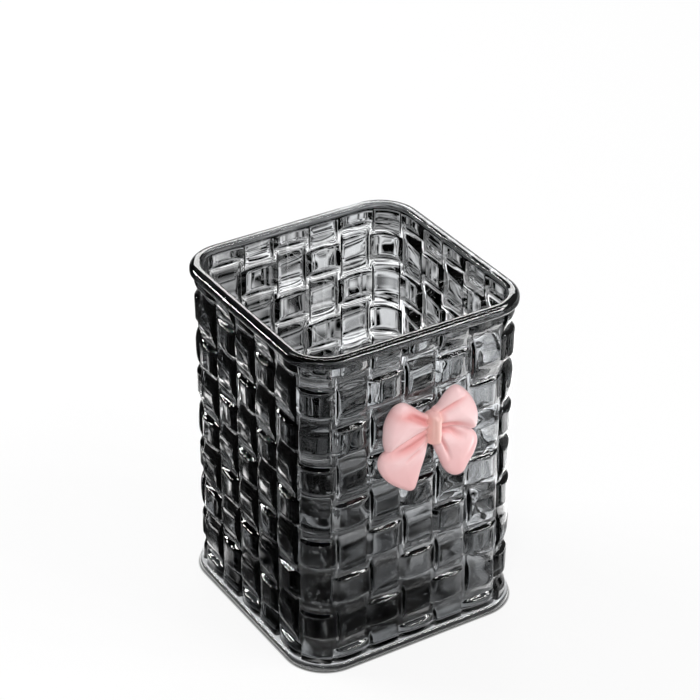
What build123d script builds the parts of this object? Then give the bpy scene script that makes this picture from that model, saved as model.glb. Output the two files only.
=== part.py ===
from build123d import *
import math
import os

os.makedirs("parts", exist_ok=True)

# Cup for makeup brushes: one clear moulding with a woven outside, and a resin bow glued on its front.
# Millimetres. The underside rests on Z = 0, the cup's axis is Z, and the bow is on the -Y side.

# Outlines are rounded squares, all with their corner arcs on the same four centres
cup_height = 100.0
arc_centre = 23.5
inside_half = 32.5
groove_half = 33.5
crest_half = 34.6
edge_half = 35.7

base_thickness = 2.0
base_top_round = 0.8
base_under_round = 0.5
rim_height = 2.6
rim_top_round = 0.9
rim_under_round = 0.5
wall_top = cup_height - rim_height

# Weave: upright straps cross level ribbons, one over and one under, twenty-four columns round
column_pitch = 10.5
face_columns = 5
row_pitch = 12.0
row_count = 9
lowest_row = 1.7
strap_half_width = 4.7
strap_end_rise = 0.3
ribbon_half_width = 5.2
ribbon_half_height = 4.1
ribbon_end_rise = 0.4
strap_half_length = row_pitch - ribbon_half_height
root_depth = 0.3
corner_half_angle = 30.0
strap_half_angle = 27.0
ribbon_half_angle = 28.5

# Bow: thicknesses are measured out from its flat back
bow_x = 1.2
bow_z = 70.5
bow_back = 35.0
loop_thickness = 4.4
tail_thickness = 3.2
knot_thickness = 5.2
knot_centre = (0.8, 0.3)
knot_width = 4.4
knot_height = 9.6
knot_round = 1.5
knot_edge_round = 1.2
pad_width = 12.0
pad_height = 9.0
pad_depth = 0.5


def rounded_square(half):
    return RectangleRounded(2 * half, 2 * half, half - arc_centre)


def slab(half, low, high):
    return Pos(0, 0, low) * extrude(rounded_square(half), amount=high - low)


def turned(point, degrees):
    angle = math.radians(degrees)
    return (
        point[0] * math.cos(angle) - point[1] * math.sin(angle),
        point[0] * math.sin(angle) + point[1] * math.cos(angle),
    )


def arched_face(foot_a, end_a, crest, end_b, foot_b):
    """Face under an arch: two short sides, the arch through its crest, and a straight foot."""
    edges = [
        Line(foot_a, end_a),
        ThreePointArc(end_a, crest, end_b),
        Line(end_b, foot_b),
        Line(foot_b, foot_a),
    ]
    return make_face(edges)


def row_height(row):
    return lowest_row + row * row_pitch


def strap_is_over(column, row):
    # Corner columns count as column 0 and the face columns as 1 to 5
    return (column + row) % 2 == 0


# Smooth base plate, whose edge stands out as the foot
def make_base():
    plate = slab(edge_half, 0, base_thickness)
    top_edge = plate.faces().sort_by(Axis.Z)[-1].outer_wire().edges()
    plate = fillet(top_edge, base_top_round)
    under_edge = plate.faces().sort_by(Axis.Z)[0].outer_wire().edges()
    return fillet(under_edge, base_under_round)


# Bead round the mouth
def make_rim():
    ring = slab(edge_half, wall_top, cup_height) - slab(inside_half, wall_top, cup_height)
    top_edges = ring.faces().sort_by(Axis.Z)[-1].edges()
    ring = fillet(top_edges, rim_top_round)
    under_edge = ring.faces().sort_by(Axis.Z)[0].outer_wire().edges()
    return fillet(under_edge, rim_under_round)


# Strap and ribbon crests on a flat side, drawn on the side that faces -Y
def face_strap(column_x, middle):
    low = middle - strap_half_length
    high = middle + strap_half_length
    left = column_x - strap_half_width
    foot = -(groove_half - root_depth)
    end = -(groove_half + strap_end_rise)
    face = arched_face(
        (left, foot, low), (left, end, low), (left, -crest_half, middle), (left, end, high), (left, foot, high)
    )
    return extrude(face, amount=2 * strap_half_width, dir=(1, 0, 0))


def face_ribbon(column_x, middle):
    low = middle - ribbon_half_height
    left = column_x - ribbon_half_width
    right = column_x + ribbon_half_width
    foot = -(groove_half - root_depth)
    end = -(groove_half + ribbon_end_rise)
    face = arched_face(
        (left, foot, low), (left, end, low), (column_x, -crest_half, low), (right, end, low), (right, foot, low)
    )
    return extrude(face, amount=2 * ribbon_half_height, dir=(0, 0, 1))


def face_sector():
    reach = 20.0
    side = turned((0, -reach), 45 - corner_half_angle)
    points = [
        (-arc_centre, -arc_centre),
        (-arc_centre - side[0], -arc_centre + side[1]),
        (arc_centre + side[0], -arc_centre + side[1]),
        (arc_centre, -arc_centre),
    ]
    return extrude(make_face(Polyline(*points, close=True)), amount=wall_top)


def make_face_wall():
    sheet = slab(groove_half, base_thickness, wall_top) - slab(inside_half, base_thickness, wall_top)
    sheet = sheet & face_sector()
    crests = []
    for column in range(1, face_columns + 1):
        column_x = (column - (face_columns + 1) / 2) * column_pitch
        for row in range(row_count):
            make_crest = face_strap if strap_is_over(column, row) else face_ribbon
            crests.append(make_crest(column_x, row_height(row)))
    limits = slab(crest_half, base_thickness, wall_top)
    crests = [crest & limits for crest in crests]
    return sheet.fuse(*crests)


# The same crests bent round a corner, drawn about the arc's own centre and facing +X
def corner_strap(middle):
    low = middle - strap_half_length
    high = middle + strap_half_length
    foot = groove_half - root_depth - arc_centre
    end = groove_half + strap_end_rise - arc_centre
    crest = crest_half - arc_centre
    face = arched_face((foot, 0, low), (end, 0, low), (crest, 0, middle), (end, 0, high), (foot, 0, high))
    return Rot(0, 0, -strap_half_angle) * revolve(face, Axis.Z, 2 * strap_half_angle)


def corner_ribbon(middle):
    low = middle - ribbon_half_height
    foot = groove_half - root_depth - arc_centre
    end = groove_half + ribbon_end_rise - arc_centre
    crest = crest_half - arc_centre
    starts = [turned((radius, 0), -ribbon_half_angle) + (low,) for radius in (foot, end)]
    stops = [turned((radius, 0), ribbon_half_angle) + (low,) for radius in (end, foot)]
    foot_arc = ThreePointArc(stops[1], (foot, 0, low), starts[0])
    crest_arc = ThreePointArc(starts[1], (crest, 0, low), stops[0])
    face = make_face([Line(*starts), crest_arc, Line(*stops), foot_arc])
    return extrude(face, amount=2 * ribbon_half_height, dir=(0, 0, 1))


def make_corner_wall():
    near = inside_half - arc_centre
    far = groove_half - arc_centre
    corners = [(near, 0, base_thickness), (far, 0, base_thickness), (far, 0, wall_top), (near, 0, wall_top)]
    section = make_face(Polyline(*corners, close=True))
    sheet = Rot(0, 0, -corner_half_angle) * revolve(section, Axis.Z, 2 * corner_half_angle)
    limits = Pos(0, 0, base_thickness) * extrude(Circle(crest_half), amount=wall_top - base_thickness)
    crests = []
    for row in range(row_count):
        make_crest = corner_strap if strap_is_over(0, row) else corner_ribbon
        crests.append(make_crest(row_height(row)) & limits)
    return sheet.fuse(*crests)


# Bow, drawn from the front: first number to the right, second number up, both from the bow's middle.
# Each outline is a smooth curve through its points, closed straight behind the knot.
left_loop_outline = [
    (-0.6, 4.4), (-3.4, 7.0), (-6.4, 10.0), (-9.4, 11.5), (-12.4, 9.6), (-14.2, 4.5), (-14.0, -0.6),
    (-9.5, -0.9), (-5.0, 0.2), (-0.6, 0.9),
]
right_loop_outline = [
    (0.8, 4.9), (3.1, 8.4), (5.7, 10.9), (8.4, 11.5), (11.4, 9.8), (13.9, 6.0), (15.2, 1.3), (15.0, -1.8),
    (13.0, -2.9), (10.4, -1.9), (6.6, -0.7), (0.8, 0.7),
]
left_tail_outline = [
    (-0.6, 0.9), (-5.0, 0.2), (-9.5, -0.9), (-13.8, -1.5), (-16.0, -4.4), (-15.4, -8.0), (-12.7, -12.0),
    (-9.0, -15.3), (-6.1, -16.9), (-4.2, -16.0), (-3.3, -12.7), (-2.0, -8.0), (-0.6, -3.6),
]
right_tail_outline = [
    (0.8, 0.7), (6.6, -0.7), (10.4, -1.9), (13.4, -3.4), (15.4, -6.2), (15.4, -9.9), (13.8, -13.7),
    (11.9, -17.4), (9.6, -18.0), (7.2, -16.8), (5.0, -14.0), (3.2, -9.6), (0.8, -3.6),
]
# How far out each section of a puffed lobe lies, as a share of its thickness, and how wide it is there
crown_sections = [(0.0, 0.94), (0.3, 1.0), (0.75, 0.88), (1.0, 0.6)]
# Pleats run out from the knot: where each starts, where it fades out, and its half-width at the start
loop_pleats = [
    ((-1.2, 2.9), (-10.0, 8.4), 0.7),
    ((1.6, 3.9), (10.8, 8.2), 0.6),
    ((1.8, 2.6), (7.4, 1.8), 0.5),
]
tail_pleats = [
    ((-1.6, -1.4), (-12.4, -4.2), 0.6),
    ((-1.4, -2.4), (-8.6, -6.6), 0.5),
    ((2.0, -0.9), (10.4, -5.2), 0.6),
    ((2.4, -2.6), (5.8, -10.4), 0.5),
]


def bow_point(point, depth):
    return (bow_x + point[0], -(bow_back + depth), bow_z + point[1])


def middle_point(points):
    count = len(points)
    return (sum(point[0] for point in points) / count, sum(point[1] for point in points) / count)


def crowned(outline, thickness):
    """Puffed shape: the outline swells from its back, then draws in towards its crown."""
    root = middle_point([outline[0], outline[-1]])
    hub = middle_point([root, middle_point(outline)])
    faces = []
    for depth, scale in crown_sections:
        points = []
        for point in outline:
            drawn_in = (hub[0] + scale * (point[0] - hub[0]), hub[1] + scale * (point[1] - hub[1]))
            points.append(bow_point(drawn_in, depth * thickness))
        faces.append(make_face([Spline(*points), Line(points[-1], points[0])]))
    return loft(faces)


def pleat(start, stop, half_width, depth):
    begin = Vector(*bow_point(start, depth))
    run = Vector(*bow_point(stop, depth)) - begin
    plane = Plane(origin=begin, z_dir=run.normalized())
    cutter = Cone(half_width, 0.1, run.length, align=(Align.CENTER, Align.CENTER, Align.MIN))
    return plane * cutter


def make_knot():
    band = RectangleRounded(knot_width, knot_height, knot_round)
    plane = Plane(origin=bow_point(knot_centre, 0), x_dir=(1, 0, 0), z_dir=(0, -1, 0))
    knot = extrude(plane * band, amount=knot_thickness)
    front_face = knot.faces().sort_by(Axis.Y)[0]
    return fillet(front_face.outer_wire().edges(), knot_edge_round)


def make_lobe(outline, thickness, pleats, neighbours):
    lobe = crowned(outline, thickness)
    for start, stop, half_width in pleats:
        lobe -= pleat(start, stop, half_width, thickness)
    for neighbour in neighbours:
        lobe -= neighbour
    return max(lobe.solids(), key=lambda solid: solid.volume)


# Clear pad of glue that fills the weave behind the knot
def make_pad(wall):
    plane = Plane(origin=bow_point(knot_centre, 0), x_dir=(1, 0, 0), z_dir=(0, 1, 0))
    pad = extrude(plane * Ellipse(pad_width / 2, pad_height / 2), amount=bow_back - crest_half + pad_depth)
    pad -= wall
    return max(pad.solids(), key=lambda solid: solid.volume)


nodes = {"base_plate": make_base(), "rim_bead": make_rim()}

face_wall = make_face_wall()
corner_wall = make_corner_wall()
for turn, side in enumerate(("front", "right", "rear", "left")):
    nodes[side + "_wall"] = Rot(0, 0, 90 * turn) * face_wall
corner_names = ("front_right", "rear_right", "rear_left", "front_left")
for turn, corner in enumerate(corner_names):
    placed = Pos(arc_centre, -arc_centre, 0) * Rot(0, 0, -45) * corner_wall
    nodes[corner + "_corner"] = Rot(0, 0, 90 * turn) * placed

knot = make_knot()
left_loop = make_lobe(left_loop_outline, loop_thickness, loop_pleats[:1], [knot])
right_loop = make_lobe(right_loop_outline, loop_thickness, loop_pleats[1:], [knot])
left_tail = make_lobe(left_tail_outline, tail_thickness, tail_pleats[:2], [knot, left_loop])
right_tail = make_lobe(right_tail_outline, tail_thickness, tail_pleats[2:], [knot, right_loop, left_tail])
nodes["bow_knot"] = knot
nodes["bow_left_loop"] = left_loop
nodes["bow_right_loop"] = right_loop
nodes["bow_left_tail"] = left_tail
nodes["bow_right_tail"] = right_tail
nodes["glue_pad"] = make_pad(nodes["front_wall"])

for name, shape in nodes.items():
    export_step(shape, f"parts/{name}.step")
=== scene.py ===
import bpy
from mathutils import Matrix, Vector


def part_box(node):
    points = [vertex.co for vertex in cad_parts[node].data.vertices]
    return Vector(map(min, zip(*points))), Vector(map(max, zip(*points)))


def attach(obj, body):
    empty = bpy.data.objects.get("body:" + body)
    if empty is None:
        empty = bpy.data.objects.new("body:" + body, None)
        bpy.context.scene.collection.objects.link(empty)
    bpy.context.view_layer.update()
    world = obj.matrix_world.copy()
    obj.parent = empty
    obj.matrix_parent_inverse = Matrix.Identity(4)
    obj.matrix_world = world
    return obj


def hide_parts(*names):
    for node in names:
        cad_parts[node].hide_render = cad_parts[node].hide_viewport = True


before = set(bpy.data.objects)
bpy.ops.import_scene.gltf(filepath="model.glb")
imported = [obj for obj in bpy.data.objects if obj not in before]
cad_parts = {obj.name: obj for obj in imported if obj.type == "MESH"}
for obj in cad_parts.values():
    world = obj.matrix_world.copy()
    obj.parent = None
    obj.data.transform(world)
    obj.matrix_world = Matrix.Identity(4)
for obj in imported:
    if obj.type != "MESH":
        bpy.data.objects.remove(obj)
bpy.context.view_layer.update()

import math

import bpy
import numpy as np
from mathutils import Vector

# A square cup of smoky clear plastic with a woven outside, and a pink resin bow on its front.
# Metres throughout. Sizes written as so many * mm are real millimetres.
mm = 0.001
scene = bpy.context.scene
scene.view_settings.view_transform = "Standard"


# Small helpers for node trees

def feed(tree, socket, value):
    if isinstance(value, bpy.types.NodeSocket):
        tree.links.new(value, socket)
    else:
        socket.default_value = value


def maths(tree, operation, *values, clamp=False):
    node = tree.nodes.new("ShaderNodeMath")
    node.operation = operation
    node.use_clamp = clamp
    for socket, value in zip(node.inputs, values):
        feed(tree, socket, value)
    return node.outputs[0]


def combined(tree, operation, first, *others):
    # One operation over several values, such as their product or the largest of them
    for other in others:
        first = maths(tree, operation, first, other)
    return first


def blendColours(tree, share, first, second):
    node = tree.nodes.new("ShaderNodeMix")
    node.data_type = "RGBA"
    feed(tree, node.inputs["Factor"], share)
    feed(tree, node.inputs["A"], first)
    feed(tree, node.inputs["B"], second)
    return node.outputs["Result"]


def remap(tree, value, fromLow, fromHigh, toLow, toHigh):
    node = tree.nodes.new("ShaderNodeMapRange")
    for socket, number in zip(node.inputs, (value, fromLow, fromHigh, toLow, toHigh)):
        feed(tree, socket, number)
    return node.outputs[0]


def noise(tree, place, scale, detail=2.0, roughness=0.5):
    node = tree.nodes.new("ShaderNodeTexNoise")
    tree.links.new(place, node.inputs["Vector"])
    feed(tree, node.inputs["Scale"], scale)
    node.inputs["Detail"].default_value = detail
    node.inputs["Roughness"].default_value = roughness
    return node.outputs[0]


def distanceFrom(tree, place, centre):
    node = tree.nodes.new("ShaderNodeVectorMath")
    node.operation = "DISTANCE"
    tree.links.new(place, node.inputs[0])
    node.inputs[1].default_value = centre
    return node.outputs["Value"]


def stretched(tree, place, scale):
    node = tree.nodes.new("ShaderNodeMapping")
    tree.links.new(place, node.inputs["Vector"])
    node.inputs["Scale"].default_value = scale
    return node.outputs[0]


def newMaterial(name):
    material = bpy.data.materials.new(name)
    material.use_nodes = True
    tree = material.node_tree
    tree.nodes.clear()
    output = tree.nodes.new("ShaderNodeOutputMaterial")
    shader = tree.nodes.new("ShaderNodeBsdfPrincipled")
    tree.links.new(shader.outputs[0], output.inputs["Surface"])
    place = tree.nodes.new("ShaderNodeTexCoord").outputs["Object"]
    return material, tree, shader, output, place


def newMesh(name, points, faces, smooth=True):
    mesh = bpy.data.meshes.new(name)
    mesh.from_pydata([tuple(point) for point in points], [], faces)
    mesh.polygons.foreach_set("use_smooth", [smooth] * len(mesh.polygons))
    mesh.update()
    piece = bpy.data.objects.new(name, mesh)
    scene.collection.objects.link(piece)
    return piece


def storeValues(mesh, name, values):
    # One number or one vector for each point of the mesh
    values = np.asarray(values, np.float32)
    kind, key = ("FLOAT_VECTOR", "vector") if values.ndim > 1 else ("FLOAT", "value")
    mesh.attributes.new(name, kind, "POINT").data.foreach_set(key, values.ravel())


# Camera, fitted to the outlines of the rim and the foot
view = {
    "azimuth": math.radians(-31.62),        # round from the side that carries the bow
    "elevation": math.radians(31.464),
    "distance": 705.96 * mm,
    "aimHeight": 50 * mm,                   # on the axis, from which the aim is moved right and up as seen
    "aimRight": -0.79 * mm,
    "aimUp": 22.6 * mm,
    "lens": 129.9,
    "sensor": 36.0,
    "clipStart": 0.01,
}


def makeCamera():
    turn, rise = view["azimuth"], view["elevation"]
    back = Vector((math.sin(turn) * math.cos(rise), -math.cos(turn) * math.cos(rise), math.sin(rise)))
    right = Vector((math.cos(turn), math.sin(turn), 0))
    up = back.cross(right)
    aim = Vector((0, 0, view["aimHeight"])) + right * view["aimRight"] + up * view["aimUp"]
    data = bpy.data.cameras.new("camera")
    data.sensor_width = view["sensor"]
    data.lens = view["lens"]
    data.clip_start = view["clipStart"]
    camera = bpy.data.objects.new("camera", data)
    camera.location = aim + back * view["distance"]
    camera.rotation_mode = "QUATERNION"
    camera.rotation_quaternion = (-back).to_track_quat("-Z", "Y")
    scene.collection.objects.link(camera)
    scene.camera = camera


# Studio: plain soft light on a white ground. Polished surfaces see it dim on the left and lit on the right.
# Where a level changes, a pair says where the change starts and where it ends.
studio = {
    "fill": 0.35,                       # world level for diffuse light
    "backdrop": 1.0,                    # white seen by the camera
    "dim": 0.03,
    "lit": 1.0,
}
# The room, by direction: X runs to the right and Z upwards, up to 1
room = {
    "dimToLit": (-0.1, 0.6),
    "lowToHigh": (0.0, 0.25),
    "overhead": 0.15,                   # how much of the level is left high up
    "bandHeight": 0.765,                # a bright band, which the round edge of the rim mirrors as lines
    "bandWidth": (0.025, 0.045),
    "bandLevel": 12.0,
}


def shinyRays(tree):
    rays = tree.nodes.new("ShaderNodeLightPath").outputs
    return rays, maths(tree, "MAXIMUM", rays["Is Glossy Ray"], rays["Is Transmission Ray"])


def makeWorld():
    world = bpy.data.worlds.new("studio")
    scene.world = world
    world.use_nodes = True
    tree = world.node_tree
    tree.nodes.clear()
    output = tree.nodes.new("ShaderNodeOutputWorld")
    background = tree.nodes.new("ShaderNodeBackground")
    tree.links.new(background.outputs[0], output.inputs[0])
    rays, shiny = shinyRays(tree)
    axes = tree.nodes.new("ShaderNodeSeparateXYZ")
    tree.links.new(tree.nodes.new("ShaderNodeTexCoord").outputs["Generated"], axes.inputs[0])
    across = remap(tree, axes.outputs["X"], *room["dimToLit"], studio["dim"], studio["lit"])
    upwards = remap(tree, axes.outputs["Z"], *room["lowToHigh"], 1, room["overhead"])
    fromBand = maths(tree, "ABSOLUTE", maths(tree, "SUBTRACT", axes.outputs["Z"], room["bandHeight"]))
    band = remap(tree, fromBand, *room["bandWidth"], room["bandLevel"], 0)
    polished = maths(tree, "MULTIPLY", across, maths(tree, "MAXIMUM", upwards, band))
    level = remap(tree, shiny, 0, 1, studio["fill"], polished)
    level = remap(tree, rays["Is Camera Ray"], 0, 1, level, studio["backdrop"])
    tree.links.new(level, background.inputs["Strength"])
    background.inputs["Color"].default_value = (1, 1, 1, 1)


# The table, by place: a pale matte floor, on which polished surfaces also see light thrown through the cup
table = {
    "half": 1.6,
    "drop": 0.15 * mm,
    "colour": (0.90, 0.90, 0.90, 1),
    "glow": 0.85,                       # share of plain white that the camera sees in it
    "contactReach": 0.8 * mm,           # painted contact shadow, a dark line where the foot meets it
    "contactDepth": 3.6,
    "dimToLit": (14 * mm, 95 * mm),
    "past": (120 * mm, 150 * mm),       # dimmer again far out on the right
    "pastLevel": 0.35,
    "far": (40 * mm, 110 * mm),         # brighter behind the cup
    "farLevel": 1.35,
    "poolCentre": (30 * mm, 0, 0),      # light through the mouth, on the table under the cup
    "poolReach": (8 * mm, 46 * mm),
    "poolLevel": 1.0,
    "skirtReach": 33.2 * mm,            # a lit strip under the edge of the foot
    "skirtWidth": (2.4 * mm, 4.0 * mm),
    "skirtLevel": 2.4,
    "sheenCentre": (-45 * mm, 95 * mm, 0),      # light behind on the left, which the left side mirrors
    "sheenReach": (30 * mm, 75 * mm),
    "sheenLevel": 7.2,
    "patchScale": 62,                   # small bright patches, which break up the sheen
    "patchRange": (0.40, 0.66),
    "patchPower": 3.5,
    "fleckLevel": 3.0,                  # and lie in the pool as flecks
    "dappleScale": 78,                  # soft patches thrown through the weave
    "dappleRange": (0.38, 0.62),
    "dappleLevels": (0.0, 1.9),
    "threadScale": 30,                  # and bright curved threads between them
    "threadWidth": 0.022,
    "threadLevel": 2.2,
}


def tableLight(tree):
    # Brightness of the table for polished surfaces, by place on it
    place = tree.nodes.new("ShaderNodeTexCoord").outputs["Object"]
    axes = tree.nodes.new("ShaderNodeSeparateXYZ")
    tree.links.new(place, axes.inputs[0])
    x, y = axes.outputs["X"], axes.outputs["Y"]
    graded = combined(tree, "MULTIPLY", remap(tree, x, *table["dimToLit"], studio["dim"], studio["lit"]),
                      remap(tree, x, *table["past"], 1, table["pastLevel"]),
                      remap(tree, y, *table["far"], 1, table["farLevel"]))
    fromPool = distanceFrom(tree, place, table["poolCentre"])
    pool = remap(tree, fromPool, *table["poolReach"], table["poolLevel"], 0)
    outermost = maths(tree, "MAXIMUM", maths(tree, "ABSOLUTE", x), maths(tree, "ABSOLUTE", y))
    fromSkirt = maths(tree, "ABSOLUTE", maths(tree, "SUBTRACT", outermost, table["skirtReach"]))
    skirt = remap(tree, fromSkirt, *table["skirtWidth"], table["skirtLevel"], 0)
    patches = remap(tree, noise(tree, place, table["patchScale"], 1.0), *table["patchRange"], 0, 1)
    patches = maths(tree, "POWER", patches, table["patchPower"])
    fromSheen = distanceFrom(tree, place, table["sheenCentre"])
    sheen = remap(tree, fromSheen, *table["sheenReach"], table["sheenLevel"], 0)
    sheen = maths(tree, "MULTIPLY", sheen, patches)
    flecks = combined(tree, "MULTIPLY", pool, patches, table["fleckLevel"])
    dapple = noise(tree, place, table["dappleScale"], 0.0)
    dapple = remap(tree, dapple, *table["dappleRange"], *table["dappleLevels"])
    fromThread = maths(tree, "SUBTRACT", noise(tree, place, table["threadScale"], 0.0), 0.5)
    thread = remap(tree, maths(tree, "ABSOLUTE", fromThread), 0.0, table["threadWidth"], 1, 0)
    threads = combined(tree, "MULTIPLY", thread, thread, table["threadLevel"])
    level = maths(tree, "MULTIPLY", maths(tree, "MAXIMUM", graded, pool),
                  maths(tree, "MAXIMUM", dapple, threads))
    return combined(tree, "MAXIMUM", level, flecks, sheen, skirt)


def makeFloor():
    half, low = table["half"], -table["drop"]
    corners = [(-half, -half, low), (half, -half, low), (half, half, low), (-half, half, low)]
    floor = newMesh("floor", corners, [(0, 1, 2, 3)], smooth=False)
    material = bpy.data.materials.new("paleFloor")
    material.use_nodes = True
    tree = material.node_tree
    tree.nodes.clear()
    output = tree.nodes.new("ShaderNodeOutputMaterial")
    matte = tree.nodes.new("ShaderNodeBsdfDiffuse")
    matte.inputs["Color"].default_value = table["colour"]
    glow = tree.nodes.new("ShaderNodeEmission")
    rays, shiny = shinyRays(tree)
    # Painted contact shadow: ambient occlusion darkens the white that the camera sees next to the foot
    contact = tree.nodes.new("ShaderNodeAmbientOcclusion")
    contact.inputs["Distance"].default_value = table["contactReach"]
    seen = maths(tree, "POWER", contact.outputs["AO"], table["contactDepth"])
    seen = maths(tree, "MULTIPLY", seen, studio["backdrop"])
    tree.links.new(remap(tree, shiny, 0, 1, seen, tableLight(tree)), glow.inputs["Strength"])
    share = maths(tree, "MULTIPLY", rays["Is Camera Ray"], table["glow"])
    mixer = tree.nodes.new("ShaderNodeMixShader")
    tree.links.new(maths(tree, "MAXIMUM", share, shiny), mixer.inputs[0])
    tree.links.new(matte.outputs[0], mixer.inputs[1])
    tree.links.new(glow.outputs[0], mixer.inputs[2])
    tree.links.new(mixer.outputs[0], output.inputs["Surface"])
    floor.data.materials.append(material)


# Each lamp is a row of panels, with gaps as wide as they are, so that polished edges show broken lines
lamps = [
    # name, place, aim, size of the row, panels in the row, radiance
    ("keyLamp", (-0.50, -0.60, 0.70), (0, 0, 0.05), (0.20, 0.20), 1, 16.0),
    ("frontLamp", (0.42, -0.50, 0.66), (0, 0, 0.05), (0.42, 0.24), 4, 19.0),
    ("backLamp", (-0.48, 0.68, 0.44), (0, 0, 0.05), (0.46, 0.17), 6, 46.0),
    ("rimLamp", (0.455, 0.74, 0.523), (0, 0, 0.10), (0.50, 0.18), 1, 6.0),
    ("sideLamp", (0.1025, -0.02, 0.001), (0.1025, -0.02, 1), (0.065, 0.20), 1, 3.2),
]


def makeLamps():
    for name, place, aim, size, panels, radiance in lamps:
        turn = (Vector(aim) - Vector(place)).to_track_quat("-Z", "Y")
        width = size[0] / (2 * panels - 1)
        for number in range(panels):
            data = bpy.data.lights.new(f"{name}{number + 1}", "AREA")
            data.shape = "RECTANGLE"
            data.size, data.size_y = width, size[1]
            data.energy = radiance * math.pi * width * size[1]
            lamp = bpy.data.objects.new(data.name, data)
            lamp.location = Vector(place) + turn @ Vector(((2 * number - panels + 1) * width, 0, 0))
            lamp.rotation_euler = turn.to_euler()
            lamp.visible_camera = False
            scene.collection.objects.link(lamp)


makeCamera()
makeWorld()
makeFloor()
makeLamps()
print("studio ready")


# Finishes. Roughness runs between two values, and a bump is a strength and a distance
mould = {
    "smearStretch": (1, 1, 0.35),       # marks run up and down
    "smearRange": (0.42, 0.68),
    "mottleShare": 0.4,                 # scale of the mottle against that of the smears
    "mottleRange": (0.35, 0.65),
}
plastic = {
    "rippleScale": 45,
    "smearScale": 140,
    "roughness": (0.0, 0.012),
    "bump": (0.2, 0.2 * mm),
    "ior": 1.57,
    "tints": ((0.90, 0.91, 0.92, 1), (0.98, 0.98, 0.98, 1)),
    "satin": 0.40,                      # underside and foot are moulded satin
    "satinFades": (0.1 * mm, 1.9 * mm),
    "smoke": (0.24, 0.25, 0.26, 1),
    "smokeDensity": 650,
}
resin = {
    "rippleScale": 260,
    "smearScale": 420,
    "roughness": (0.34, 0.46),
    "bump": (0.12, 0.15 * mm),
    "ior": 1.5,
    "pinks": ((0.90, 0.58, 0.58, 1), (0.93, 0.64, 0.64, 1)),
    "knotPink": (0.90, 0.53, 0.47, 1),
    # salmon for painted shade in the folds, close round the knot and low on the tails
    "paintedShadePink": (0.76, 0.28, 0.27, 1),
}
glue = {
    "rippleScale": 700,
    "smearScale": 500,
    "roughness": (0.12, 0.3),
    "bump": (0.4, 0.2 * mm),
    "ior": 1.45,
    "tints": ((0.80, 0.78, 0.72, 1), (0.92, 0.91, 0.88, 1)),
    "transmission": 0.7,
}


def makeMouldMarks():
    # Faint flow ripple and handling smears, shared by the plastic, the resin and the glue
    group = bpy.data.node_groups.new("mouldMarks", "ShaderNodeTree")
    group.interface.new_socket("Place", in_out="INPUT", socket_type="NodeSocketVector")
    for name in ("Ripple Scale", "Smear Scale", "Least Roughness", "Most Roughness"):
        group.interface.new_socket(name, in_out="INPUT", socket_type="NodeSocketFloat")
    for name in ("Roughness", "Height", "Mottle"):
        group.interface.new_socket(name, in_out="OUTPUT", socket_type="NodeSocketFloat")
    entry = group.nodes.new("NodeGroupInput").outputs
    exitSockets = group.nodes.new("NodeGroupOutput").inputs
    ripple = noise(group, entry["Place"], entry["Ripple Scale"], 2.0)
    smearPlace = stretched(group, entry["Place"], mould["smearStretch"])
    smear = noise(group, smearPlace, entry["Smear Scale"], 4.0, 0.65)
    mottleScale = maths(group, "MULTIPLY", entry["Smear Scale"], mould["mottleShare"])
    mottle = noise(group, entry["Place"], mottleScale, 3.0)
    patches = remap(group, smear, *mould["smearRange"], entry["Least Roughness"], entry["Most Roughness"])
    group.links.new(patches, exitSockets["Roughness"])
    group.links.new(ripple, exitSockets["Height"])
    group.links.new(mottle, exitSockets["Mottle"])
    return group


def useMarks(tree, shader, place, finish):
    # The marks with one finish's values. The bump and the IOR are set here, and the rest is the caller's
    node = tree.nodes.new("ShaderNodeGroup")
    node.node_tree = mouldMarks
    tree.links.new(place, node.inputs["Place"])
    node.inputs["Ripple Scale"].default_value = finish["rippleScale"]
    node.inputs["Smear Scale"].default_value = finish["smearScale"]
    for name, roughness in zip(("Least Roughness", "Most Roughness"), finish["roughness"]):
        node.inputs[name].default_value = roughness
    bump = tree.nodes.new("ShaderNodeBump")
    bump.inputs["Strength"].default_value, bump.inputs["Distance"].default_value = finish["bump"]
    tree.links.new(node.outputs["Height"], bump.inputs["Height"])
    tree.links.new(bump.outputs[0], shader.inputs["Normal"])
    shader.inputs["IOR"].default_value = finish["ior"]
    return node.outputs


def makeSmokyPlastic():
    material, tree, shader, output, place = newMaterial("smokyPlastic")
    marks = useMarks(tree, shader, place, plastic)
    tint = blendColours(tree, remap(tree, marks["Mottle"], *mould["mottleRange"], 0, 1), *plastic["tints"])
    tree.links.new(tint, shader.inputs["Base Color"])
    height = tree.nodes.new("ShaderNodeSeparateXYZ")
    tree.links.new(place, height.inputs[0])
    satin = remap(tree, height.outputs["Z"], *plastic["satinFades"], plastic["satin"], 0)
    tree.links.new(maths(tree, "MAXIMUM", marks["Roughness"], satin), shader.inputs["Roughness"])
    shader.inputs["Transmission Weight"].default_value = 1.0
    smoke = tree.nodes.new("ShaderNodeVolumeAbsorption")
    smoke.inputs["Color"].default_value = plastic["smoke"]
    smoke.inputs["Density"].default_value = plastic["smokeDensity"]
    tree.links.new(smoke.outputs[0], output.inputs["Volume"])
    return material


def makeBowResin():
    material, tree, shader, _, place = newMaterial("bowResin")
    marks = useMarks(tree, shader, place, resin)
    colour = blendColours(tree, remap(tree, marks["Mottle"], *mould["mottleRange"], 0, 1), *resin["pinks"])
    # The knot's own warmer pink, then salmon as painted shade in the folds, round the knot and low on the
    # tails
    for name, pink in (("warmth", resin["knotPink"]), ("paintedShade", resin["paintedShadePink"])):
        painted = tree.nodes.new("ShaderNodeAttribute")
        painted.attribute_name = name
        colour = blendColours(tree, painted.outputs["Fac"], colour, pink)
    tree.links.new(colour, shader.inputs["Base Color"])
    tree.links.new(marks["Roughness"], shader.inputs["Roughness"])
    return material


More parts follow.
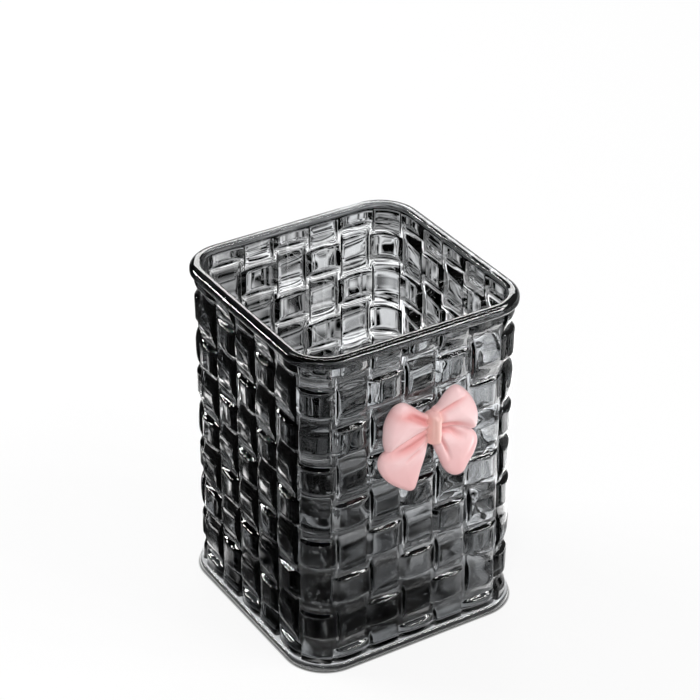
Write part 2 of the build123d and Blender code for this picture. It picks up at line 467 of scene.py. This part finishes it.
def makeSetGlue():
    material, tree, shader, _, place = newMaterial("setGlue")
    marks = useMarks(tree, shader, place, glue)
    tree.links.new(blendColours(tree, marks["Mottle"], *glue["tints"]), shader.inputs["Base Color"])
    tree.links.new(marks["Roughness"], shader.inputs["Roughness"])
    shader.inputs["Transmission Weight"].default_value = glue["transmission"]
    return material


mouldMarks = makeMouldMarks()
smokyPlastic = makeSmokyPlastic()
bowResin = makeBowResin()
setGlue = makeSetGlue()
print("finishes ready")


# Cup: one moulding, drawn as rings round a rounded square, with the weave pressed into its skin.
# Half widths are measured from its axis, and the corner arcs of every ring share their centres.
_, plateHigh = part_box("base_plate")
_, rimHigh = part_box("rim_bead")
wallLow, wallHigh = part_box("front_wall")
cup = {
    "arcCentre": 23.5 * mm,
    "edge": plateHigh.x,        # of the foot and the rim
    "crest": -wallLow.y + 0.1 * mm,     # where the weave stands out most
    "inside": 32.5 * mm,
    "groove": 33.3 * mm,        # skin between the straps and the ribbons
    "plateTop": plateHigh.z,
    "wallTop": wallHigh.z,
    "height": rimHigh.z,
    "footRound": 0.8 * mm,
    "underRound": 0.5 * mm,
    "rimRound": 1.5 * mm,       # outer edge of the rim
    "lipRound": 0.5 * mm,       # its inner edge
    "rimCrown": 0.04 * mm,
    "insideFillet": 1.2 * mm,
    "faceColumns": 5,
    "columnPitch": 10.5 * mm,
    "rowPitch": 12 * mm,
    "lowestRow": 1.7 * mm,
    "overCrest": 0.15 * mm,     # most that the unevenness of the skin adds
}
# Inputs of the weave's tree: upright straps cross level ribbons, one over and one under
weave = {
    "Column Pitch": cup["columnPitch"],
    "Row Pitch": cup["rowPitch"],
    "Strap Half Width": 4.8 * mm,
    "Strap Edge": 0.8 * mm,        # radius of the shoulder before the steep side
    "Ribbon Half Height": 4.2 * mm,
    "Ribbon Edge": 0.7 * mm,
    "Edge Steepness": 2.6,
    "Full Depth": 1.4 * mm,
    "Middle Level": 0.30 * mm,
    "Crown": 0.12,
    "Wobble": 0.36 * mm,           # slow unevenness of the pressed skin
    "Wobble Scale": 95,
}
weave["Swing"] = cup["crest"] - cup["groove"] - weave["Middle Level"]


def linesAcross(half, radius, pitch):
    # Places across a strap or a ribbon where the mesh has a line: most of them on the shoulder of its edges
    steepness, depth = weave["Edge Steepness"], weave["Full Depth"]
    steepest = math.atan(steepness)
    shoulder = radius * math.sin(steepest)
    side = (depth - radius * (1 - math.cos(steepest))) / steepness
    flat = half - side - shoulder
    distances = [flat * share for share in (0, 0.25, 0.5, 0.75, 1)]
    distances += [flat + radius * math.sin(steepest * share) for share in (0.33, 0.67, 1)]
    distances += [half - 0.02 * mm, half + 0.03 * mm]       # just inside and just outside its edge
    distances += [pitch / 2]                                # and half way to the next one
    return sorted({round(sign * distance, 7) for distance in distances for sign in (-1, 1)})


def roundLine():
    # Points once round the cup: a foot on the inner square, the way out, and the column number there
    centre = cup["arcCentre"]
    pitch = cup["columnPitch"]
    arcLength = (cup["groove"] - centre) * math.pi / 2
    # How far the outer columns of a face reach round the arc
    sideOver = (cup["faceColumns"] / 2) * pitch - centre
    cornerScale = (arcLength - 2 * sideOver) / pitch
    # The last line of a column is the first of the next one
    steps = linesAcross(weave["Strap Half Width"], weave["Strap Edge"], pitch)[:-1]
    line = []
    columns = cup["faceColumns"] + 1
    for side in range(4):
        turn = side * math.pi / 2
        for column in range(columns):
            for step in steps:
                if column == 0:
                    # The corner column at the left end of this side
                    angle = (step * cornerScale) / (cup["groove"] - centre) - math.pi / 4
                    foot, out = (-centre, -centre), (math.sin(angle), -math.cos(angle))
                else:
                    x = (column - columns / 2) * pitch + step
                    over = abs(x) - centre
                    angle = math.copysign(max(over, 0) / (cup["groove"] - centre), x)
                    foot = (max(-centre, min(centre, x)), -centre)
                    out = (math.sin(angle), -math.cos(angle))
                number = side * columns + column + step / pitch
                cosine, sine = math.cos(turn), math.sin(turn)
                line.append((
                    foot[0] * cosine - foot[1] * sine, foot[0] * sine + foot[1] * cosine,
                    out[0] * cosine - out[1] * sine, out[0] * sine + out[1] * cosine, number,
                ))
    return np.array(line)


def quarter(centreOut, centreUp, radius, start, stop, count):
    # Points of a rounded edge, as distances out from the axis and heights
    angles = [math.radians(start + (stop - start) * k / count) for k in range(count + 1)]
    return [(centreOut + radius * math.cos(a), centreUp + radius * math.sin(a)) for a in angles]


def skinHeights():
    low, high, pitch = cup["plateTop"], cup["wallTop"], cup["rowPitch"]
    margin = 0.05 * mm
    heights = {low, high}
    row = 0
    while cup["lowestRow"] + (row - 1) * pitch < high:
        for step in linesAcross(weave["Ribbon Half Height"], weave["Ribbon Edge"], pitch):
            height = cup["lowestRow"] + row * pitch + step
            if low + margin < height < high - margin:
                heights.add(round(height, 7))
        row += 1
    return sorted(heights)


def cupProfile():
    # Rings from under the foot, up the outside, over the rim and down the inside. Each is its distance out,
    # its height, and 1 on the woven skin
    edge, inside = cup["edge"], cup["inside"]
    under, foot, rim, fillet = cup["underRound"], cup["footRound"], cup["rimRound"], cup["insideFillet"]
    plateTop, wallTop, top = cup["plateTop"], cup["wallTop"], cup["height"]
    support, lipSupport = 0.25 * mm, 0.15 * mm      # from a rounding to the next ring
    rings = [(edge - under - support, 0)]
    rings += quarter(edge - under, under, under, -90, 0, 4)
    rings += quarter(edge - foot, plateTop - foot, foot, 0, 90, 5)
    rings = [(out, height, 0) for out, height in rings]
    rings += [(cup["groove"], height, 1) for height in skinHeights()]
    # The rim's top is crowned: its middle is highest, and its roundings stop short of level
    lip, low = cup["lipRound"], top - cup["rimCrown"]
    crownEdge, tilt = top - 0.01 * mm, 6        # tilt in degrees
    bead = quarter(edge - under, wallTop + under, under, -90, 0, 4)
    bead += quarter(edge - rim, low - rim, rim, 0, 90 - tilt, 9)
    bead += [(edge - rim - support, crownEdge), ((edge - rim + inside + lip) / 2, top),
             (inside + lip + lipSupport, crownEdge)]
    bead += quarter(inside + lip, low - lip, lip, 90 + tilt, 180, 6)
    bead += [(inside, low - lip - support), (inside, plateTop + fillet + support)]
    bead += quarter(inside - fillet, plateTop + fillet, fillet, 0, -90, 6)
    bead += [(inside - fillet - support, plateTop)]
    rings += [(out, height, 0) for out, height in bead]
    return rings


def weaveTree():
    tree = bpy.data.node_groups.new("pressedWeave", "GeometryNodeTree")
    tree.interface.new_socket("Geometry", in_out="INPUT", socket_type="NodeSocketGeometry")
    for name in weave:
        tree.interface.new_socket(name, in_out="INPUT", socket_type="NodeSocketFloat")
    tree.interface.new_socket("Material", in_out="INPUT", socket_type="NodeSocketMaterial")
    tree.interface.new_socket("Geometry", in_out="OUTPUT", socket_type="NodeSocketGeometry")
    entry = tree.nodes.new("NodeGroupInput").outputs
    result = tree.nodes.new("NodeGroupOutput").inputs["Geometry"]
    steepest = math.atan(weave["Edge Steepness"])

    def named(name, kind="FLOAT"):
        node = tree.nodes.new("GeometryNodeInputNamedAttribute")
        node.data_type = kind
        node.inputs["Name"].default_value = name
        return node.outputs["Attribute"]

    def wave(along, across):
        # +1 where this member is on top, -1 where it is underneath
        swing = maths(tree, "COSINE", maths(tree, "MULTIPLY", along, math.pi))
        turn = maths(tree, "COSINE", maths(tree, "MULTIPLY", maths(tree, "ROUND", across), math.pi))
        fuller = maths(tree, "SUBTRACT", 1.5, combined(tree, "MULTIPLY", swing, swing, 0.5))
        return combined(tree, "MULTIPLY", swing, fuller, turn)

    def shapedEdge(place, half, radius):
        # 1 inside, falling over a round shoulder and then a steep straight side to 0 at the edge
        shoulder = maths(tree, "MULTIPLY", radius, math.sin(steepest))
        shoulderDrop = maths(tree, "MULTIPLY", radius, 1 - math.cos(steepest))
        sideDrop = maths(tree, "SUBTRACT", entry["Full Depth"], shoulderDrop)
        side = maths(tree, "DIVIDE", sideDrop, entry["Edge Steepness"])
        past = maths(tree, "SUBTRACT", place, combined(tree, "SUBTRACT", half, side, shoulder))
        onShoulder = maths(tree, "MINIMUM", maths(tree, "MAXIMUM", past, 0.0), shoulder)
        onSide = maths(tree, "MAXIMUM", maths(tree, "SUBTRACT", past, shoulder), 0.0)
        left = maths(tree, "SUBTRACT", maths(tree, "MULTIPLY", radius, radius),
                     maths(tree, "MULTIPLY", onShoulder, onShoulder))
        drop = maths(tree, "SUBTRACT", radius, maths(tree, "SQRT", left))
        drop = maths(tree, "ADD", drop, maths(tree, "MULTIPLY", onSide, entry["Edge Steepness"]))
        return maths(tree, "SUBTRACT", 1.0, maths(tree, "DIVIDE", drop, entry["Full Depth"]), clamp=True)

    def crowned(place, half):
        share = maths(tree, "DIVIDE", place, half)
        return maths(tree, "SUBTRACT", 1.0, combined(tree, "MULTIPLY", share, share, entry["Crown"]))

    def level(swing):
        return maths(tree, "ADD", entry["Middle Level"], maths(tree, "MULTIPLY", entry["Swing"], swing))

    def fromMiddle(number, pitch):
        # Distance from the middle line of the nearest strap or ribbon
        gap = maths(tree, "ABSOLUTE", maths(tree, "SUBTRACT", number, maths(tree, "ROUND", number)))
        return maths(tree, "MULTIPLY", gap, pitch)

    column, row, skin = named("columnPlace"), named("rowPlace"), named("skin")
    across = fromMiddle(column, entry["Column Pitch"])
    up = fromMiddle(row, entry["Row Pitch"])
    strap = combined(tree, "MULTIPLY", level(wave(row, column)),
                     shapedEdge(across, entry["Strap Half Width"], entry["Strap Edge"]),
                     crowned(across, entry["Strap Half Width"]))
    ribbonSwing = maths(tree, "MULTIPLY", wave(column, row), -1.0)
    ribbon = maths(tree, "MULTIPLY", level(ribbonSwing),
                   shapedEdge(up, entry["Ribbon Half Height"], entry["Ribbon Edge"]))
    place = tree.nodes.new("GeometryNodeInputPosition").outputs[0]
    uneven = maths(tree, "SUBTRACT", noise(tree, place, entry["Wobble Scale"], 0.0), 0.5)
    uneven = maths(tree, "MULTIPLY", uneven, entry["Wobble"])
    relief = maths(tree, "ADD", maths(tree, "MAXIMUM", strap, ribbon), uneven)
    highest = cup["crest"] - cup["groove"] + cup["overCrest"]
    relief = maths(tree, "MINIMUM", maths(tree, "MAXIMUM", relief, 0.0), highest)
    relief = maths(tree, "MULTIPLY", relief, skin)

    push = tree.nodes.new("ShaderNodeVectorMath")
    push.operation = "SCALE"
    tree.links.new(named("outward", "FLOAT_VECTOR"), push.inputs[0])
    tree.links.new(relief, push.inputs["Scale"])
    move = tree.nodes.new("GeometryNodeSetPosition")
    tree.links.new(entry["Geometry"], move.inputs["Geometry"])
    tree.links.new(push.outputs[0], move.inputs["Offset"])
    realize = tree.nodes.new("GeometryNodeRealizeInstances")
    tree.links.new(move.outputs[0], realize.inputs[0])
    paint = tree.nodes.new("GeometryNodeSetMaterial")
    tree.links.new(realize.outputs[0], paint.inputs["Geometry"])
    tree.links.new(entry["Material"], paint.inputs["Material"])
    tree.links.new(paint.outputs[0], result)
    return tree


def applyTree(piece, tree, values):
    modifier = piece.modifiers.new("shape", "NODES")
    modifier.node_group = tree
    for item in tree.interface.items_tree:
        if item.in_out == "INPUT" and item.name in values:
            modifier[item.identifier] = values[item.name]
    bpy.context.view_layer.update()
    graph = bpy.context.evaluated_depsgraph_get()
    made = bpy.data.meshes.new_from_object(piece.evaluated_get(graph), depsgraph=graph)
    piece.modifiers.remove(modifier)
    old = piece.data
    made.name = old.name + "Pressed"
    piece.data = made
    bpy.data.meshes.remove(old)


def makeCup():
    line = roundLine()
    rings = cupProfile()
    count = len(line)
    points = []
    carried = {"columnPlace": [], "rowPlace": [], "skin": [], "outward": []}
    for out, height, skin in rings:
        reach = out - cup["arcCentre"]
        xy = line[:, 0:2] + reach * line[:, 2:4]
        points.append(np.column_stack([xy, np.full(count, height)]))
        carried["columnPlace"].append(line[:, 4])
        carried["rowPlace"].append(np.full(count, (height - cup["lowestRow"]) / cup["rowPitch"]))
        carried["skin"].append(np.full(count, skin))
        carried["outward"].append(np.column_stack([line[:, 2:4], np.zeros(count)]))
    faces = []
    for ring in range(len(rings) - 1):
        base = ring * count
        for k in range(count):
            after = (k + 1) % count
            faces.append((base + k, base + after, base + count + after, base + count + k))
    # The first ring closes the underside, and the last one the floor of the inside
    faces.append(tuple(reversed(range(count))))
    last = (len(rings) - 1) * count
    faces.append(tuple(last + k for k in range(count)))
    piece = newMesh("clear_cup", np.concatenate(points), faces)
    for name, values in carried.items():
        storeValues(piece.data, name, np.concatenate(values))
    applyTree(piece, weaveTree(), {**weave, "Material": smokyPlastic})
    for name in carried:
        piece.data.attributes.remove(piece.data.attributes[name])
    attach(piece, "root")
    walls = [side + "_wall" for side in ("front", "right", "rear", "left")]
    corners = [corner + "_corner" for corner in ("front_right", "rear_right", "rear_left", "front_left")]
    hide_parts("base_plate", "rim_bead", *walls, *corners)
    return piece


clearCup = makeCup()
print("cup ready:", len(clearCup.data.polygons), "faces")


# Bow: drawn from the front in millimetres, first to the right and then up, both from its middle
bow = {
    "middle": (1.2 * mm, 70.5 * mm),
    "back": 35.0 * mm,
    "lineStep": 0.25,          # spacing of the points along each outline
    "fullAt": 0.3,             # share of a lobe's thickness at which its outline is widest
    "under": ((0.5, 0.985), (0.0, 0.87)),       # rings below: share of that height, size against the outline
    "rings": 40,
    "ringCrowding": 1.35,      # more of the rings lie near the outline
    "lipShare": 0.58,          # how much of a lobe rises at its lip, and how much as a slow swell
    "swellShare": 0.48,
    "swellRate": 2.2,
    "droopFrom": 2,            # above the hub, and how far down the droop grows
    "droopReach": 12,
    "foldGrowth": (0.7, 0.6),  # width of a fold at its start, and what it gains along its way
    "foldFade": (0.5, 0.8),    # share of its length over which it fades, and how steeply
    "voxel": 0.17 * mm,
    "smoothing": 5,
    "smoothShare": 0.5,
}
# A fold fades towards its last point, and its two widths are those on its left and on its right
lobes = {
    "leftTail": {
        "outline": [(-0.6, 0.9), (-5.0, 0.2), (-9.5, -0.9), (-13.4, -2.6), (-15.4, -4.4), (-15.6, -7.4),
                    (-13.9, -11.0), (-11.2, -14.1), (-8.0, -16.6), (-5.6, -18.0), (-4.0, -17.6),
                    (-3.0, -14.9), (-2.3, -12.0), (-1.1, -8.2), (-0.4, -3.6)],
        "hub": (-7.0, -6.5), "thickness": 3.2, "lip": 1.5, "crown": 5.5, "droop": 0.35,
        "folds": [
            {"line": [(-1.2, -1.2), (-4.3, -2.4), (-8.4, -3.6), (-12.3, -3.7)],
             "widths": (1.0, 0.9), "depth": 1.0},
            {"line": [(-1.4, -3.4), (-4.3, -5.1), (-6.7, -6.2), (-8.3, -7.3)],
             "widths": (0.8, 0.6), "depth": 0.7},
        ],
    },
    "rightTail": {
        "outline": [(0.8, 0.7), (6.6, -0.7), (10.4, -1.9), (13.1, -3.9), (15.2, -6.2), (15.8, -9.0),
                    (14.9, -12.2), (13.2, -15.0), (11.6, -17.7), (9.3, -18.1), (7.0, -16.8), (5.1, -14.3),
                    (3.5, -10.4), (0.8, -3.6)],
        "hub": (8.5, -8.0), "thickness": 3.2, "lip": 1.5, "crown": 5.5, "droop": 0.35,
        "folds": [
            {"line": [(2.4, -0.8), (5.9, -1.9), (7.6, -3.4), (9.4, -5.1), (11.2, -5.5)],
             "widths": (1.5, 0.45), "depth": 1.1},
            {"line": [(2.6, -2.4), (3.9, -4.8), (5.3, -8.0), (6.4, -11.7)],
             "widths": (0.45, 0.5), "depth": 0.8},
            {"line": [(13.6, -4.2), (14.2, -7.4), (12.9, -10.6), (10.6, -13.4)],
             "widths": (0.8, 0.9), "depth": 0.4},
        ],
    },
    "leftLoop": {
        "outline": [(-0.6, 4.6), (-2.4, 6.1), (-4.9, 8.5), (-7.8, 10.7), (-10.5, 10.6), (-12.5, 8.7),
                    (-13.8, 6.0), (-14.2, 2.4), (-14.1, -0.6), (-13.2, -2.6), (-9.6, -1.3), (-5.3, 0.0),
                    (-0.6, 1.4)],
        "hub": (-8.0, 4.5), "thickness": 4.4, "lip": 1.9, "crown": 6.0, "droop": 0.0,
        "folds": [
            {"line": [(-1.0, 2.9), (-2.8, 3.8), (-4.5, 5.1), (-6.8, 6.9), (-10.2, 8.6)],
             "widths": (0.55, 1.7), "depth": 1.5},
            {"line": [(-1.2, 2.0), (-4.4, 1.9), (-7.6, 1.0)],
             "widths": (0.5, 0.5), "depth": 0.35},
        ],
    },
    "rightLoop": {
        "outline": [(0.8, 5.6), (2.6, 6.7), (4.9, 9.3), (6.7, 10.7), (8.7, 11.0), (11.1, 9.1), (13.3, 6.0),
                    (14.8, 2.6), (15.2, -0.4), (14.8, -3.0), (13.3, -4.0), (11.6, -2.9), (9.8, -2.1),
                    (6.7, -1.0), (0.8, 0.9)],
        "hub": (9.0, 4.0), "thickness": 4.4, "lip": 1.9, "crown": 6.0, "droop": 0.0,
        "folds": [
            {"line": [(1.4, 4.6), (3.6, 5.4), (5.9, 6.5), (8.3, 7.4), (11.4, 8.2)],
             "widths": (0.7, 0.9), "depth": 1.3},
            {"line": [(2.2, 1.6), (6.3, 0.6), (9.4, -0.5), (12.0, -1.6)],
             "widths": (1.1, 0.9), "depth": 1.2},
        ],
    },
    "knot": {
        "outline": [(-0.8, -3.0), (-1.0, -1.2), (-1.1, 2.4), (-1.0, 4.6), (-0.4, 5.5), (0.7, 5.7), (2.1, 5.4),
                    (2.8, 4.4), (3.0, 2.2), (3.0, -1.6), (2.8, -3.4), (2.0, -4.3), (0.7, -4.4), (-0.5, -4.0)],
        "hub": (0.6, 0.5), "thickness": 5.2, "lip": 1.5, "crown": 2.6, "droop": 0.0,
        "folds": [
            {"line": [(-0.1, 4.6), (0.0, 0.7), (0.0, -3.4)],
             "widths": (0.3, 0.3), "depth": 0.35},
        ],
    },
}
# Painted shade in the folds, as a deeper salmon: along a line, as wide and as strong as given, fading to its
# far end
paintedShadeLines = [
    {"line": [(-1.4, 3.4), (-4.0, 5.4), (-7.2, 7.4), (-12.4, 8.8)], "width": 1.5, "strength": 1.0},
    {"line": [(-1.0, -0.4), (-4.3, -1.8), (-8.0, -3.0), (-13.4, -3.5)], "width": 1.7, "strength": 0.95},
    {"line": [(-4.0, -4.9), (-6.4, -6.0), (-8.4, -7.4)], "width": 0.7, "strength": 0.5},
    {"line": [(2.4, 1.3), (6.3, 0.3), (9.4, -0.7), (12.4, -2.2)], "width": 0.95, "strength": 0.85},
    {"line": [(2.6, -0.7), (6.2, -1.5), (8.5, -3.4), (11.0, -4.6)], "width": 0.9, "strength": 0.75},
    {"line": [(1.6, 4.7), (4.6, 6.0), (8.3, 7.4), (11.2, 8.2)], "width": 0.75, "strength": 0.7},
    {"line": [(2.6, -2.6), (4.2, -5.5), (5.6, -8.8), (6.4, -11.7)], "width": 0.5, "strength": 0.6},
]
# The knot has a warmer pink. Painted shade, as salmon, lies close round it and low down on the tails
shades = {
    "fadeEnd": 1.15,           # of a line's painted shade, as a share of its length
    "fadeReach": 0.6,
    "knotMiddle": (0.8, 0.6),
    "knotReach": (2.3, 5.1),
    "knotLineStep": 0.4,
    "shadeRoundKnot": 0.5,
    "shadeRoundKnotReach": 1.0,
    "lowShade": 0.32,
    "lowShadeFrom": -5,
    "lowShadeReach": 7,
}


def curvePoint(before, start, stop, after, t):
    # Smooth curve from start to stop, which also bends towards the points before and after them
    return 0.5 * (2 * start + (stop - before) * t
                  + (2 * before - 5 * start + 4 * stop - after) * t ** 2
                  + (3 * start - before - 3 * stop + after) * t ** 3)


def smoothClosed(points, step):
    points = np.array(points, float)
    count = len(points)
    curve = []
    for k in range(count):
        before, start, stop, after = (points[(k + shift) % count] for shift in (-1, 0, 1, 2))
        pieces = max(2, int(np.linalg.norm(stop - start) / step))
        curve += [curvePoint(before, start, stop, after, t) for t in np.arange(pieces) / pieces]
    return np.array(curve)


def smoothOpen(points, pieces=8):
    points = np.array(points, float)
    padded = np.concatenate([[2 * points[0] - points[1]], points, [2 * points[-1] - points[-2]]])
    curve = []
    for before, start, stop, after in zip(padded, padded[1:], padded[2:], padded[3:]):
        curve += [curvePoint(before, start, stop, after, t) for t in np.arange(pieces) / pieces]
    return np.array(curve + [points[-1]])


def distanceToLine(places, line, closed=False):
    # Distance from each place to a run of straight pieces, how far along it the nearest point is as a share
    # of its length, and whether the place is on its left
    line = np.array(line, float)
    ends = np.roll(line, -1, axis=0) if closed else line[1:]
    starts = line if closed else line[:-1]
    lengths = np.linalg.norm(ends - starts, axis=1)
    before = np.concatenate([[0], np.cumsum(lengths)])[:-1]
    nearest = np.full(len(places), np.inf)
    along = np.zeros(len(places))
    onLeft = np.zeros(len(places), bool)
    for start, stop, length, passed in zip(starts, ends, lengths, before):
        run = (stop - start) / length
        offset = places - start
        share = np.clip(offset @ run, 0, length)
        gap = np.linalg.norm(offset - share[:, None] * run, axis=1)
        closer = gap < nearest
        nearest = np.where(closer, gap, nearest)
        along = np.where(closer, passed + share, along)
        onLeft = np.where(closer, run[0] * offset[:, 1] - run[1] * offset[:, 0] > 0, onLeft)
    return nearest, along / lengths.sum(), onLeft


def foldDepth(places, fold):
    gap, along, onLeft = distanceToLine(places, smoothOpen(fold["line"]))
    (atStart, gain), (fadeShare, fadePower) = bow["foldGrowth"], bow["foldFade"]
    width = np.where(onLeft, *fold["widths"]) * (atStart + gain * along)
    fade = np.clip((1 - along) / fadeShare, 0, 1) ** fadePower
    return np.exp(-(gap / width) ** 2) * fade


def lobeHeight(places, lobe, outline):
    edgeGap, _, _ = distanceToLine(places, outline, closed=True)
    lip = np.clip(edgeGap / lobe["lip"], 0, 1)
    rounded = np.sqrt(1 - (1 - lip) ** 2)
    swell = 1 - np.exp(-(edgeGap / lobe["crown"]) * bow["swellRate"])
    base = bow["fullAt"] * lobe["thickness"]
    full = lobe["thickness"] - base
    rise = full * (bow["lipShare"] * rounded + bow["swellShare"] * swell)
    for fold in lobe["folds"]:
        rise = rise - fold["depth"] * foldDepth(places, fold) * rounded
    below = np.clip((lobe["hub"][1] + bow["droopFrom"] - places[:, 1]) / bow["droopReach"], 0, 1)
    return base + np.clip(rise * (1 - lobe["droop"] * below), 0, full)


def makeLobe(name, lobe):
    outline = smoothClosed(lobe["outline"], bow["lineStep"])
    hub = np.array(lobe["hub"])
    count, rings = len(outline), bow["rings"]
    places = [hub[None, :]]
    for ring in range(1, rings + 1):
        share = 1 - (1 - ring / rings) ** bow["ringCrowding"]
        places.append(hub + share * (outline - hub))
    places = np.concatenate(places)
    heights = lobeHeight(places, lobe, outline)
    # The side runs in from the widest line to the smaller flat back, and the back closes on its hub
    for share, drawnIn in bow["under"]:
        places = np.concatenate([places, hub + drawnIn * (outline - hub)])
        heights = np.concatenate([heights, np.full(count, share * bow["fullAt"] * lobe["thickness"])])
    places = np.concatenate([places, hub[None, :]])
    heights = np.concatenate([heights, [0]])
    points = np.column_stack([places[:, 0], -(bow["back"] / mm + heights), places[:, 1]]) * mm
    points += np.array([bow["middle"][0], 0, bow["middle"][1]])
    faces = []
    for k in range(count):
        after = (k + 1) % count
        faces.append((0, 1 + k, 1 + after))
        for ring in range(rings + 1):
            base = 1 + ring * count
            faces.append((base + k, base + count + k, base + count + after, base + after))
        behind = 1 + (rings + 1) * count
        faces.append((behind + k, len(points) - 1, behind + after))
    return newMesh(name, points, faces)


def paintWarmthAndShade(mesh):
    # Painted shade as salmon in the folds, close round the knot and low on the tails, and the knot's own
    # warmer pink
    points = np.zeros(len(mesh.vertices) * 3)
    mesh.vertices.foreach_get("co", points)
    points = points.reshape(-1, 3) / mm
    places = points[:, [0, 2]] - np.array(bow["middle"]) / mm
    across, up = ((places[:, k] - shades["knotMiddle"][k]) / shades["knotReach"][k] for k in (0, 1))
    inKnot = np.exp(-(across ** 6 + up ** 6))
    paintedShade = np.zeros(len(places))
    for paintedShadeLine in paintedShadeLines:
        gap, along, _ = distanceToLine(places, smoothOpen(paintedShadeLine["line"]))
        fade = np.clip((shades["fadeEnd"] - along) / shades["fadeReach"], 0, 1)
        share = paintedShadeLine["strength"] * np.exp(-(gap / paintedShadeLine["width"]) ** 2) * fade
        paintedShade = np.maximum(paintedShade, share * (1 - inKnot))
    knotLine = smoothClosed(lobes["knot"]["outline"], shades["knotLineStep"])
    knotGap, _, _ = distanceToLine(places, knotLine, closed=True)
    shadeRoundKnot = shades["shadeRoundKnot"] * np.exp(-(knotGap / shades["shadeRoundKnotReach"]) ** 2) * (1 - inKnot)
    lowShade = np.clip((shades["lowShadeFrom"] - places[:, 1]) / shades["lowShadeReach"], 0, 1)
    paintedShade = np.maximum(np.maximum(paintedShade, shadeRoundKnot), shades["lowShade"] * lowShade)
    storeValues(mesh, "paintedShade", np.clip(paintedShade, 0, 1))
    storeValues(mesh, "warmth", inKnot)


def makeBow():
    parts = [makeLobe(name, lobe) for name, lobe in lobes.items()]
    whole = parts[0]
    with bpy.context.temp_override(active_object=whole, object=whole, selected_editable_objects=parts,
                                   selected_objects=parts):
        bpy.ops.object.join()
    whole.name = "resin_bow"
    remesh = whole.modifiers.new("casting", "REMESH")
    remesh.mode = "VOXEL"
    remesh.voxel_size = bow["voxel"]
    soften = whole.modifiers.new("soften", "SMOOTH")
    soften.iterations = bow["smoothing"]
    soften.factor = bow["smoothShare"]
    graph = bpy.context.evaluated_depsgraph_get()
    made = bpy.data.meshes.new_from_object(whole.evaluated_get(graph), depsgraph=graph)
    made.name = "resinBow"
    whole.modifiers.clear()
    old = whole.data
    whole.data = made
    bpy.data.meshes.remove(old)
    made.polygons.foreach_set("use_smooth", [True] * len(made.polygons))
    paintWarmthAndShade(made)
    made.materials.clear()
    made.materials.append(bowResin)
    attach(whole, "root")
    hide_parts("bow_knot", "bow_left_loop", "bow_right_loop", "bow_left_tail", "bow_right_tail")
    return whole


resinBow = makeBow()
print("bow ready:", len(resinBow.data.polygons), "faces")


# Glue pad: the solid itself, with its own finish
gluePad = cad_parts["glue_pad"]
gluePad.data.materials.clear()
gluePad.data.materials.append(setGlue)
print("glue pad ready")
